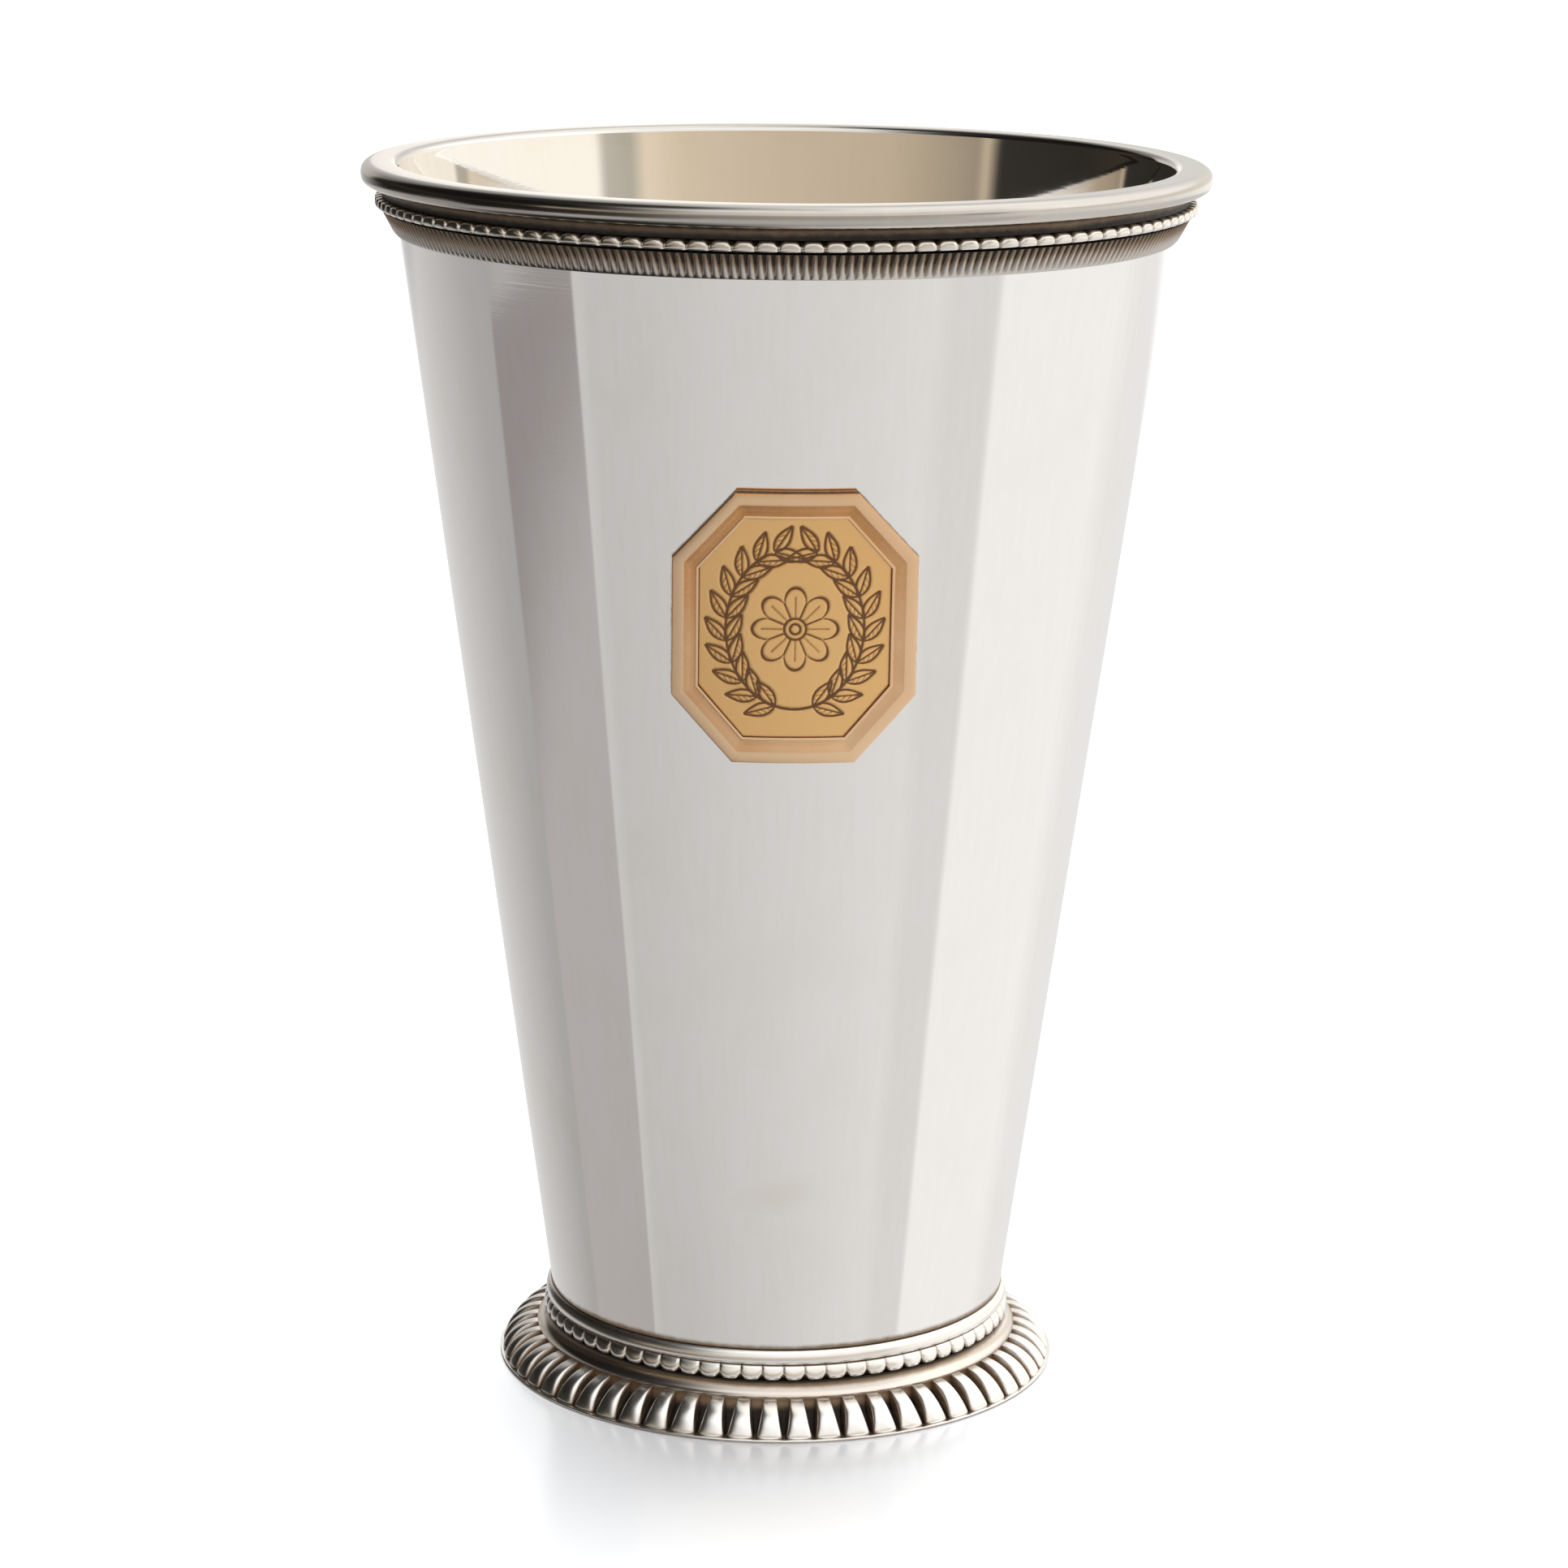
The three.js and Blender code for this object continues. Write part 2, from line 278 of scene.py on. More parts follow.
def silverMaterial(name, seam=False, inner=None):
    # polished silver: fine turning lines, faint upright streaks, patches of warm tarnish, brown then black
    # where the recess attribute rises, which is patina in the hollows and painted shade in creases, under
    # overhangs and between lobes; and on the wall a dark line just outside the plaque, a solder seam with
    # painted shadow
    bright, tarnish, roughness = finishes[name]
    look, roughen = silverLook, silverLook["roughen"]
    material = bpy.data.materials.new(name)
    tree = Tree(material)
    spot = tree.node("ShaderNodeTexCoord", output="Object")
    recess, outside = tree.attribute("recess"), tree.attribute("outside")
    cloud = tree.noise(spot, *look["cloud"])
    fine = tree.noise(spot, *look["fine"])
    turning = tree.noise(tree.stretch(spot, look["turningStretch"]), *look["turning"])
    streak = tree.noise(tree.stretch(spot, look["streakStretch"]), *look["streak"])
    worn = recess + (cloud - 0.5) * look["cloudWear"] + (fine - 0.5) * look["fineWear"]
    brown = worn.step(*look["brownFrom"])
    dark = worn.step(*look["darkFrom"])
    streaked = streak.step(*look["streakFrom"]) * look["streakWarmth"]
    warm = cloud.step(*look["tarnishFrom"]) * tarnish + streaked
    if inner:  # another silver's finish where the outside attribute is 0
        innerBright, _, innerRoughness = finishes[inner]
        bright = tree.mix(outside, innerBright, bright)
        roughness = outside * (roughness - innerRoughness) + innerRoughness
    if seam:
        x, y, z = tree.parts(spot)
        front = outside * (1.0 - y.step(*look["frontFrom"]))
        # a dark line on the wall just outside the plaque: solder seam, and painted shadow along the plaque's
        # edge
        away = plaqueDistance(abs(x), abs(z - plaqueMiddle * mm)) + (fine - 0.5) * look["seamWaver"]
        dark = dark.most(front * (1.0 - away.step(*look["seamFrom"])))
        (stainX, stainZ), (wide, tall) = look["stainPlace"], look["stainSize"]
        dx = (x - stainX * mm) / (wide * mm)
        dz = (z - stainZ * mm - x * look["stainSlope"]) / (tall * mm)
        clear = (dx * dx + dz * dz + (cloud - 0.5) * look["stainWaver"]).step(*look["stainFrom"])
        warm = warm.most(front * (1.0 - clear) * look["stainWarmth"])
    colour = tree.mix(warm, bright, look["tarnish"])
    # brown, then near-black: patina in the hollows and painted shade, both carried by the recess attribute
    colour = tree.mix(brown, colour, look["brown"])
    colour = tree.mix(dark, colour, look["patinaAndShade"])
    rough = roughness + warm * roughen["warm"] + fine * roughen["fine"] + turning * roughen["turning"]
    rough = rough + brown * roughen["brown"] + dark * roughen["dark"]
    bump = tree.bump(look["lineStrength"], look["lineDepth"], turning + fine * look["fineDepth"])
    tree.surface({"Base Color": colour, "Roughness": rough, "Metallic": 1.0 - dark * look["patinaAndShadeDull"],
                  "Normal": bump})
    return material


goldTones = {  # bright and deep colour of each gold
    "fieldGold": ((1.0, 0.63, 0.272), (0.78, 0.41, 0.145)),
    "frameGold": ((1.0, 0.71, 0.45), (0.70, 0.335, 0.12)),
}
goldLook = {
    "engravedAndShadow": (0.13, 0.058, 0.021),
    "cloud": (160.0, 3.0, 0.6),  # scale, detail and roughness of a noise
    "grain": (2600.0, 2.0, 0.6),
    "shadeUp": 0.02,  # change of painted shade for each millimetre up
    "shadeAcross": 0.014,  # and across
    "cloudInShade": 0.5,
    "grainWear": 0.16,
    "shadeLean": 2.5,
    "shadeFrom": (-0.25, 0.9),
    "shadeShare": 0.3,
    "edgeFrom": (0.05, 0.4),
    "edgeShare": 0.55,
    "fillAndShadeFrom": (0.42, 0.95),
    "fillAndShadeDull": 0.5,
    "fillAndShadeRough": 0.2,
    "roughness": 0.36,
    "grainRough": 0.16,
    "grainStrength": 0.3,
    "grainDepth": 0.00002,
}


def goldMaterial(name):
    # satin gold: fine grain, painted shade that deepens the flats towards the top right, a deeper tone where
    # the recess attribute rises, which on the moulding is painted shade, deeper towards the top left, and
    # then a dark
    # filling: the engraved lines' fill and painted shadow at the plaque's edges
    bright, deep = goldTones[name]
    look = goldLook
    material = bpy.data.materials.new(name)
    tree = Tree(material)
    spot = tree.node("ShaderNodeTexCoord", output="Object")
    recess = tree.attribute("recess")
    cloud = tree.noise(spot, *look["cloud"])
    grain = tree.noise(spot, *look["grain"])
    x, _, z = tree.parts(spot)
    rise = (z - plaqueMiddle * mm) * (look["shadeUp"] / mm) + (cloud - 0.5) * look["cloudInShade"]
    lean = x * (look["shadeAcross"] / mm)
    worn = recess + (grain - 0.5) * look["grainWear"]
    # painted shade: the flats deepen towards the top right
    shade = (rise + lean * look["shadeLean"]).step(*look["shadeFrom"]) * look["shadeShare"]
    # painted shade on the moulding's edges and bevel, deeper towards the top left
    edge = worn.step(*look["edgeFrom"]) * (look["edgeShare"] + rise - lean)
    # fill of the engraved lines, and painted shadow at the plaque's edges
    fillAndShade = worn.step(*look["fillAndShadeFrom"])
    colour = tree.mix(shade + edge, bright, deep)
    colour = tree.mix(fillAndShade, colour, look["engravedAndShadow"])
    rough = look["roughness"] + (grain - 0.5) * look["grainRough"] + fillAndShade * look["fillAndShadeRough"]
    bump = tree.bump(look["grainStrength"], look["grainDepth"], grain + cloud)
    tree.surface({"Base Color": colour, "Roughness": rough, "Metallic": 1.0 - fillAndShade * look["fillAndShadeDull"],
                  "Normal": bump})
    return material


wallSilver = silverMaterial("wallSilver", seam=True)
lipSilver = silverMaterial("lipSilver", inner="wallSilver")
rimSilver = silverMaterial("rimSilver")
fluteSilver = silverMaterial("fluteSilver")
footSilver = silverMaterial("footSilver")
gadroonSilver = silverMaterial("gadroonSilver")
bandSilver = silverMaterial("bandSilver")
fieldGold = goldMaterial("fieldGold")
frameGold = goldMaterial("frameGold")
print("materials ready")

wall = {
    "footRadius": 28.4,
    "thickness": 1.0,
    "columns": 320,
    "rows": 70,
    "closeRows": (0.3, 1.0),  # heights of the first rows over the foot
    "waver": 0.010,
    "waves": [(5, 19, 0.0), (9, -13, 1.3), (2, 8, 0.0)],  # waves round, height of one radian, phase
    "calmEnd": 6.0,
    "junctionDark": 0.62,
    "junctionHeight": 1.2,
}
wallTopRadius, wallFoot, wallTop = ringSize("body_wall")


def coneRadius(z):  # outer radius of the wall: a straight line from its foot to its top
    return wall["footRadius"] + (wallTopRadius - wall["footRadius"]) * (z - wallFoot) / (wallTop - wallFoot)


def makeWall():
    # two cones, outside up and inside down; the skin wavers by a few slow sines round and along it
    first, second = wall["closeRows"]
    up = np.linspace(wallFoot + second, wallTop, wall["rows"] - 2)
    up = np.concatenate([[wallFoot, wallFoot + first], up])
    height = np.concatenate([up, up[::-1]])[:, None]
    inner = np.repeat([0.0, 1.0], wall["rows"])[:, None]
    angle = turn(wall["columns"])[None]
    waver = sum(np.sin(turns * angle + height / rise + phase) for turns, rise, phase in wall["waves"])
    dip = (len(wall["waves"]) + waver) / 2
    ends = np.clip(np.minimum(height - wallFoot, wallTop - height) / wall["calmEnd"], 0, 1)
    radius = coneRadius(height) - wall["thickness"] * inner - wall["waver"] * ends * dip
    near = np.clip(1 - (height - wallFoot) / wall["junctionHeight"], 0, 1)
    recess = wall["junctionDark"] * (1 - inner) * near
    addRing("beakerWall", "body_wall", wallSilver, radius, height, angle, recess, outside=1 - inner)


floorDisc = {"dome": 0.5, "hub": 0.06, "columns": 192, "rings": 16}


def makeFloor():
    # a disc: flat below, crowned above by dome * (1 - (r / R)^2), closed at the axis by two poles
    edge, low, high = ringSize("body_floor")
    share = np.linspace(floorDisc["hub"], 1, floorDisc["rings"])
    under = np.stack([share * edge, np.full_like(share, low)], 1)
    crown = np.stack([share * edge, high - floorDisc["dome"] * share ** 2], 1)
    profile = np.concatenate([under, crown[::-1]])
    rows, columns = len(profile), floorDisc["columns"]
    angle = turn(columns)[None]
    radius, height = profile[:, :1], profile[:, 1:]
    grid = np.broadcast_arrays(radius * np.cos(angle), radius * np.sin(angle), height)
    points = np.concatenate([np.stack(grid, -1).reshape(-1, 3), [[0, 0, low], [0, 0, high]]])
    faces = gridFaces(rows, columns).tolist()
    faces += poleFaces(0, columns, rows * columns, True).tolist()
    faces += poleFaces(rows - 1, columns, rows * columns + 1, False).tolist()
    attributes = {"recess": np.zeros(len(points))}
    addPiece("beakerFloor", "body_floor", wallSilver, points, faces, attributes)


makeWall()
makeFloor()

solderGap = 0.25
rimColumns = 320


def seatRadius(z):  # inside of a ring that sits round the wall
    return coneRadius(z) + solderGap


lip = {
    "nose": 1.4,
    "fullness": 3.6,
    "drop": 0.25,  # how far the under half reaches below the node's foot
    "easeWidth": 0.95,
    "easeHeight": 0.9,
    "underSweep": (90, 6, 15),  # first and last angle in degrees, and points between them
    "roundSweep": (0, 90, 18),
    "easeSweep": (90, 180, 12),
    "innerSteps": 4,
    "underDark": 0.3,
    "underRows": 4,
    "innerShare": 0.25,  # share of the eased edge that has the cup's inner finish
    "sharp": 50,
}


def makeLip():
    # outside, a full under half, nose * sqrt(1 - h^fullness), and a round upper half; then a flat crown, an
    # eased inner edge, and the cup's own inner face
    edge, low, high = ringSize("rim_lip")
    nose, ease = lip["nose"], (lip["easeWidth"], lip["easeHeight"])
    middle, rise = (low + high) / 2, (high - low) / 2
    easeFoot = high - lip["easeHeight"]
    mouth = coneRadius(easeFoot) - wall["thickness"]
    depth = np.sin(np.radians(np.linspace(*lip["underSweep"])))
    under = edge - nose + nose * np.sqrt(1 - depth ** lip["fullness"])
    profile = np.concatenate([
        np.stack([under, middle - (rise + lip["drop"]) * depth], 1),
        arc((edge - nose, middle), (nose, rise), *lip["roundSweep"]),
        arc((mouth + lip["easeWidth"], easeFoot), ease, *lip["easeSweep"]),
        line((mouth, easeFoot), (coneRadius(low) - wall["thickness"], low), lip["innerSteps"])[1:],
    ])
    recess = np.zeros(len(profile))
    # the lowest rows of the under half darken: painted shade with a little brown patina
    recess[:lip["underRows"]] = np.linspace(lip["underDark"], 0, lip["underRows"])
    shown = np.clip((profile[:, 0] - mouth) / (lip["easeWidth"] * lip["innerShare"]), 0, 1)
    addTurned("rimLip", "rim_lip", lipSilver, profile, recess, rimColumns, lip["sharp"], shown)


cavetto = {"footDepth": 1.4, "footDark": 1.0, "topDark": 0.3, "steps": 14}


def makeCavetto():
    # a hollow quarter of an ellipse, from a narrow shelf over the beads out to the underside of the lip
    nose, low, high = ringSize("rim_cavetto")
    shelf = coneRadius(low) + cavetto["footDepth"]
    hollow = arc((nose, low), (nose - shelf, high - low), 180, 90, cavetto["steps"])
    profile = np.concatenate([[(seatRadius(low), low)], hollow, [(seatRadius(high), high)]])
    # near-black at the foot of the hollow, lighter up under the lip: painted shade, with patina
    dark = np.linspace(cavetto["footDark"], cavetto["topDark"], cavetto["steps"])
    recess = np.concatenate([[1.0], dark, [1.0]])
    addTurned("rimCavetto", "rim_cavetto", rimSilver, profile, recess, rimColumns)


def lobePlan(count, lobeSteps, grooveSteps):
    # columns of one turn: each pitch has a lobe, swept by an angle from -90 to 90 degrees, and a groove
    # after it; gives each column's place across its lobe, lift, place in the groove, and lobe's middle
    sweep = np.radians(np.linspace(-90, 90, lobeSteps))
    across = np.concatenate([np.sin(sweep), np.zeros(grooveSteps)])
    lift = np.clip(np.concatenate([np.cos(sweep), np.zeros(grooveSteps)]), 0, 1)
    gap = np.concatenate([np.zeros(lobeSteps), np.linspace(0, 1, grooveSteps + 2)[1:-1]])
    middle = (np.arange(count) + 0.5) * 2 * np.pi / count - np.pi / 2
    middle = np.repeat(middle, lobeSteps + grooveSteps)
    return [part[None] for part in (*(np.tile(share, count) for share in (across, lift, gap)), middle)]


def lobeAngle(plan, half, pitch):  # angle of each column where a lobe has the given half width
    across, _, gap, middle = plan
    return middle + np.where(gap > 0, half + gap * (pitch - 2 * half), across * half)


rimBeads = {
    "count": 120,
    "strip": 0.5,  # how far the strip behind the beads stands out
    "sink": 0.24,  # gap under the beads
    "lean": 0.0,  # how far the top stands back
    "fullness": 8.0,
    "cross": 0.3,
    "notch": 1,  # 1 for dark notches above, -1 for notches below
    "stripDark": (0.95, 1.0),  # below and above the beads
}
footBeads = {
    "count": 70,
    "strip": 1.1,
    "sink": 0.0,
    "lean": 0.6,
    "fullness": 3.5,
    "cross": 0.5,
    "notch": -1,
    "stripDark": (1.0, 0.6),
}
bead = {
    "steps": (9, 1),  # columns of a lobe and of the groove after it
    "rows": [0.4, 0.66, 0.82, 0.93, 0.99],  # heights over a bead's middle, and mirrored under it
    "halfWidth": 0.49,  # in pitches
    "halfHeight": 0.485,  # in heights of the wire
    "taper": 0.15,
    "join": 0.7,
    "apartEase": 1.2,
    "dark": 0.1,
    "sideDark": 0.25,
    "notchDark": 0.9,
    "notchEase": 0.4,
    "rimDark": 0.3,
}


def makeBeads(name, node, material, beads, stripRadius, innerRadius):
    # each bead is a full pad, bulge sqrt(1 - h^fullness) up its height h and rounded across; neighbouring
    # beads run into one another and draw apart only towards the edge with the dark notches
    outer, low, high = ringSize(node)
    plan = lobePlan(beads["count"], *bead["steps"])
    lift = plan[1]
    pitch = 2 * np.pi / beads["count"]
    rows = np.array(bead["rows"])
    rise = np.concatenate([-rows[::-1], [0], rows])[:, None]
    apart = np.clip(beads["notch"] * rise, 0, 1) ** bead["apartEase"]
    half = pitch * (bead["halfWidth"] - bead["taper"] * apart)
    join = bead["join"] * (1 - apart)
    bulge = (1 - np.abs(rise) ** beads["fullness"]) ** 0.5
    crest = outer - stripRadius - beads["lean"] * (rise + 1) / 2
    radius = stripRadius + crest * bulge * (join + (1 - join) * lift ** beads["cross"])
    angle = lobeAngle(plan, half, pitch)
    edge = angle[:1]
    flat = np.ones_like(edge)
    base = low + beads["sink"]
    height = ((base + high) / 2 + (high - base) * bead["halfHeight"] * rise) * flat
    # dark sides, rims and notches: painted shade between the beads, with patina
    recess = bead["dark"] + bead["sideDark"] * (1 - lift) + bead["rimDark"] * (1 - bulge)
    recess = recess + bead["notchDark"] * apart * (1 - lift ** bead["notchEase"])
    # the strip behind the beads is painted near-black as shade, with patina
    lowDark, highDark = beads["stripDark"]
    inside = [innerRadius(high) * flat, innerRadius(low) * flat]
    radius = np.concatenate([stripRadius * flat, radius, stripRadius * flat, *inside])
    height = np.concatenate([low * flat, height, high * flat, high * flat, low * flat])
    angle = np.concatenate([edge, angle, edge, edge, edge])
    recess = np.concatenate([lowDark * flat, recess, highDark * flat, flat, flat])
    addRing(name, node, material, radius, height, angle, recess, roundAngle)


fluted = {
    "count": 296,
    "steps": (5, 1),  # columns of a lobe and of the groove after it
    "rows": [0, 0.03, 0.09, 0.2, 0.45, 0.7, 1],  # shares of the band's height
    "topShare": 0.36,  # half widths, in pitches
    "footShare": 0.46,
    "slot": 0.42,
    "slotRise": 2.5,
    "toe": 0.3,
    "toeShare": 0.2,
    "dark": 0.08,
    "topDark": 0.55,
    "topEase": 1.4,
    "slotDark": (0.12, 0.7),  # at the foot, and added at the top
}


def makeFlutes():
    # tongues lean in from under the beads to the wall; each is half round across and ends in a rounded toe
    outer, low, high = ringSize("rim_fluted_band")
    footRadius, topRadius = seatRadius(low), seatRadius(high)
    plan = lobePlan(fluted["count"], *fluted["steps"])
    pitch = 2 * np.pi / fluted["count"]
    t = np.array(fluted["rows"])[:, None]
    half = pitch * (fluted["footShare"] + (fluted["topShare"] - fluted["footShare"]) * t)
    toe = fluted["toe"] * np.sqrt(1 - np.clip(1 - t / fluted["toeShare"], 0, 1) ** 2)
    crest = footRadius + toe + (outer - footRadius - fluted["toe"]) * t
    radius = crest - fluted["slot"] * np.clip(t * fluted["slotRise"], 0, 1) * (1 - plan[1])
    angle = lobeAngle(plan, half, pitch)
    flat = np.ones_like(angle[:1])
    height = (low + (high - low) * t) * flat
    slotFoot, slotTop = fluted["slotDark"]
    # darker towards the top and in the slots: painted shade under the beads and between the tongues
    recess = fluted["dark"] + fluted["topDark"] * t ** fluted["topEase"]
    recess = recess + (1 - plan[1]) * (slotFoot + slotTop * t)
    radius = np.concatenate([radius, topRadius * flat, footRadius * flat])
    height = np.concatenate([height, high * flat, low * flat])
    angle = np.concatenate([angle, angle[-1:], angle[:1]])
    recess = np.concatenate([recess, flat, flat])
    addRing("rimFlutedBand", "rim_fluted_band", fluteSilver, radius, height, angle,
            recess, roundAngle)


makeLip()
makeCavetto()
rimStrip = seatRadius(ringSize("rim_bead_wire")[1]) + rimBeads["strip"]
makeBeads("rimBeadWire", "rim_bead_wire", rimSilver, rimBeads, rimStrip, seatRadius)
makeFlutes()

foot = {"ringWidth": 2.2, "ledge": 1.5, "beadOverhang": 1.15, "bandOverhang": 0.5, "columns": 288}
collar = {
    "nose": 0.45,
    "noseWidth": 0.4,
    "roundWidth": 1.0,
    "roundHeight": 1.35,
    "noseSweep": (-80, -10, 7),  # first and last angle in degrees, and points between them
    "roundSweep": (0, 66, 16),
    "seatEdge": 0.1,
    "seatWidth": 0.3,
    "footDark": [0.6, 0.5, 0.4, 0.3, 0.2, 0.1, 0.05],
    "topDark": [0.1, 0.3, 0.5, 0.7, 0.8, 0, 0],
}


def makeCollar():
    # a round nose near the foot, a taller round over it towards the wall, and a ledge inside that carries
    # the wall and the floor
    outer, low, high = ringSize("foot_collar")
    short, tall = (collar["noseWidth"], collar["nose"]), (collar["roundWidth"], collar["roundHeight"])
    seat = wall["footRadius"]
    inner = seat - wall["thickness"] - foot["ledge"]
    nose = low + collar["nose"]
    profile = np.concatenate([
        arc((outer - collar["noseWidth"], nose), short, *collar["noseSweep"]),
        arc((outer - collar["roundWidth"], nose), tall, *collar["roundSweep"]),
        [(seat - collar["seatEdge"], high - collar["seatEdge"]), (seat - collar["seatWidth"], high)],
        [(inner, high), (inner, low)],
    ])
    bare = np.zeros(len(profile) - len(collar["footDark"]) - len(collar["topDark"]))
    recess = np.concatenate([collar["footDark"], bare, collar["topDark"]])
    addTurned("footCollar", "foot_collar", footSilver, profile, recess, foot["columns"])


band = {"steps": 18, "dark": 0.1, "footDark": 0.4, "footEase": 6, "topDark": 1.0, "topEase": 4}


def makeBand():
    # a hollow quarter of an ellipse that sweeps out from under the beads to the gadroons
    outer, low, high = ringSize("foot_band")
    top = wall["footRadius"] + foot["bandOverhang"]
    hollow = arc((outer, high), (outer - top, high - low), 270, 180, band["steps"])
    profile = np.concatenate([hollow, [(top - foot["ringWidth"], high), (outer - foot["ringWidth"], low)]])
    t = np.linspace(0, 1, band["steps"])
    dark = band["dark"] + band["footDark"] * (1 - t) ** band["footEase"]
    # the top darkens as a painted shadow under the beads
    dark = dark + band["topDark"] * t ** band["topEase"]
    recess = np.concatenate([dark, [0, 0]])
    addTurned("footBand", "foot_band", bandSilver, profile, recess, foot["columns"])


gadroon = {
    "count": 60,
    "steps": (17, 3),  # columns of a lobe and of the groove after it
    "rows": (6, 26),  # in the part that turns under and in the rest
    "rowEase": 1.8,  # closer rows towards the root
    "footShare": 0.472,  # half widths, in pitches
    "rootShare": 0.25,
    "grooveSwell": 0.62,
    "crestEase": 0.55,
    "crestLift": 0.35,
    "cushion": 0.18,  # the smaller, the steeper the sides
    "under": 0.1,  # share of the height in which the lobe turns under
    "tuck": 0.1,
    "sideEase": 0.4,
    "sideDark": (1.8, 1.6, 0.38),  # at the base, taken off towards the root, and the least
    "underDark": 0.4,
    "rootDark": 0.26,
    "rootEase": 3,
    "backDark": 0.6,
}


def makeGadroons():
    # crest: root + swell * (1 - t)^crestEase * (1 + crestLift t), from the base to the root; groove: root +
    # part of the swell * (1 - t)^2; across, each lobe is a cushion with steep sides, wider towards the base
    outer, low, high = ringSize("foot_gadroon_ring")
    root = ringSize("foot_band")[0]
    swell = outer - root
    plan = lobePlan(gadroon["count"], *gadroon["steps"])
    lift = plan[1]
    pitch = 2 * np.pi / gadroon["count"]
    underRows, restRows = gadroon["rows"]
    rest = 1 - np.linspace(1, 0, restRows)[1:] ** gadroon["rowEase"] * (1 - gadroon["under"])
    t = np.concatenate([np.linspace(0, gadroon["under"], underRows), rest])[:, None]
    crest = root + swell * (1 - t) ** gadroon["crestEase"] * (1 + gadroon["crestLift"] * t)
    groove = root + swell * gadroon["grooveSwell"] * (1 - t) ** 2
    half = pitch * (gadroon["footShare"] + (gadroon["rootShare"] - gadroon["footShare"]) * t)
    under = np.sin(np.clip(t / gadroon["under"], 0, 1) * np.pi / 2)
    tuck = 1 - gadroon["tuck"] * (1 - under)
    radius = groove + (crest - groove) * lift ** gadroon["cushion"] * tuck
    angle = lobeAngle(plan, half, pitch)
    flat = np.ones_like(angle[:1])
    height = (low + (high - low) * t) * flat
    base, fall, least = gadroon["sideDark"]
    # dark sides, deepest at the base, and a dark under-turn: painted shade between and under the lobes;
    # towards the root the sides are brown patina
    recess = (1 - lift ** gadroon["sideEase"]) * np.clip(base - fall * t, least, None)
    recess = recess + gadroon["underDark"] * (1 - under) + gadroon["rootDark"] * t ** gadroon["rootEase"]
    back = (root - foot["ringWidth"]) * flat
    radius = np.concatenate([radius, back, back])
    height = np.concatenate([height, high * flat, low * flat])
    angle = np.concatenate([angle, angle[-1:], angle[:1]])
    recess = np.concatenate([recess, gadroon["backDark"] * flat, gadroon["backDark"] * flat])
    addRing("footGadroons", "foot_gadroon_ring", gadroonSilver, radius, height, angle,
            recess, roundAngle)


baseWire = {"lean": 0.34, "bevel": (0.06, 0.1), "dark": [0.6, 0.55, 0.45, 0.38, 0.32, 0.28, 0.2, 0.4]}


def makeBaseWire():
    # a flat wire whose outer face leans in towards the ground
    outer, low, high = ringSize("foot_base_wire")
    inner = outer - foot["ringWidth"]
    across, down = baseWire["bevel"]
    profile = np.concatenate([
        [(inner, low)],
        line((outer - baseWire["lean"], low), (outer, high - down), 5),
        [(outer - across, high), (inner, high)],
    ])
    # the darkening is a painted contact shadow at the ground, with some brown patina
    recess = np.array(baseWire["dark"])
    addTurned("footBaseWire", "foot_base_wire", footSilver, profile, recess, foot["columns"])


def footSeat(z):  # inside of the foot's bead wire, the same at each height
    return wall["footRadius"] + foot["beadOverhang"] - foot["ringWidth"]


makeCollar()
footStrip = footSeat(0) + footBeads["strip"]
makeBeads("footBeadWire", "foot_bead_wire", footSilver, footBeads, footStrip, footSeat)
makeBand()
makeGadroons()
makeBaseWire()


def onWall(x, z, lift):  # a front-view point laid on the cone at a distance off the wall
    z = z + plaqueMiddle
    return np.stack([x, -np.sqrt((coneRadius(z) + lift) ** 2 - x ** 2), z], -1)


ornament = {
    "depth": 0.10,
    "line": 0.42,
    "fineLine": 0.294,
    "wreathWidth": 7.9,
    "wreathHeight": 9.6,
    "wreathSpan": (0.09, 0.9),  # first and last leaf, as shares of the way up
    "leaves": 10,
    "leafLength": 3.7,
    "leafWidth": 0.74,
    "leafLean": 0.62,
    "leafPoint": 0.8,
    "hatchPitch": 0.62,
    "hatchLine": 0.24,
    "hatchSlope": 0.9,
    "faint": 0.8,
    "rosette": 4.9,
    "petals": 8,
    "petalWaist": 0.62,
    "petalRound": 0.7,
    "petalLine": 0.8,
    "rings": (1.25, 0.6),
    "veinStart": 1.4,
    "veinEnd": 0.8,
    "veinWidth": 0.25,
}


def stroke(distance, width):  # 1 on a line, easing to 0 at its edges
    return np.clip(1.4 - 2 * np.abs(distance) / width, 0, 1)


def leafMarks(x, z, start, heading, side):  # one leaf: a lens with a midrib, hatched on one half
    o = ornament
    dx, dz = x - start[0], z - start[1]
    u = dx * math.cos(heading) + dz * math.sin(heading)
    v = dz * math.cos(heading) - dx * math.sin(heading)
    half = o["leafWidth"] * np.sin(np.pi * np.clip(u / o["leafLength"], 0, 1) ** o["leafPoint"])
    outline = stroke(np.abs(v) - half, o["line"])
    midrib = stroke(v, o["fineLine"])
    comb = np.mod(u * o["hatchSlope"] + np.abs(v), o["hatchPitch"]) - o["hatchPitch"] / 2
    hatch = stroke(comb, o["hatchLine"]) * (v * side > 0) * (np.abs(v) < half)
    leaf = np.maximum.reduce([outline, midrib, o["faint"] * hatch])
    return np.where((u > 0) & (u < o["leafLength"]), leaf, 0)


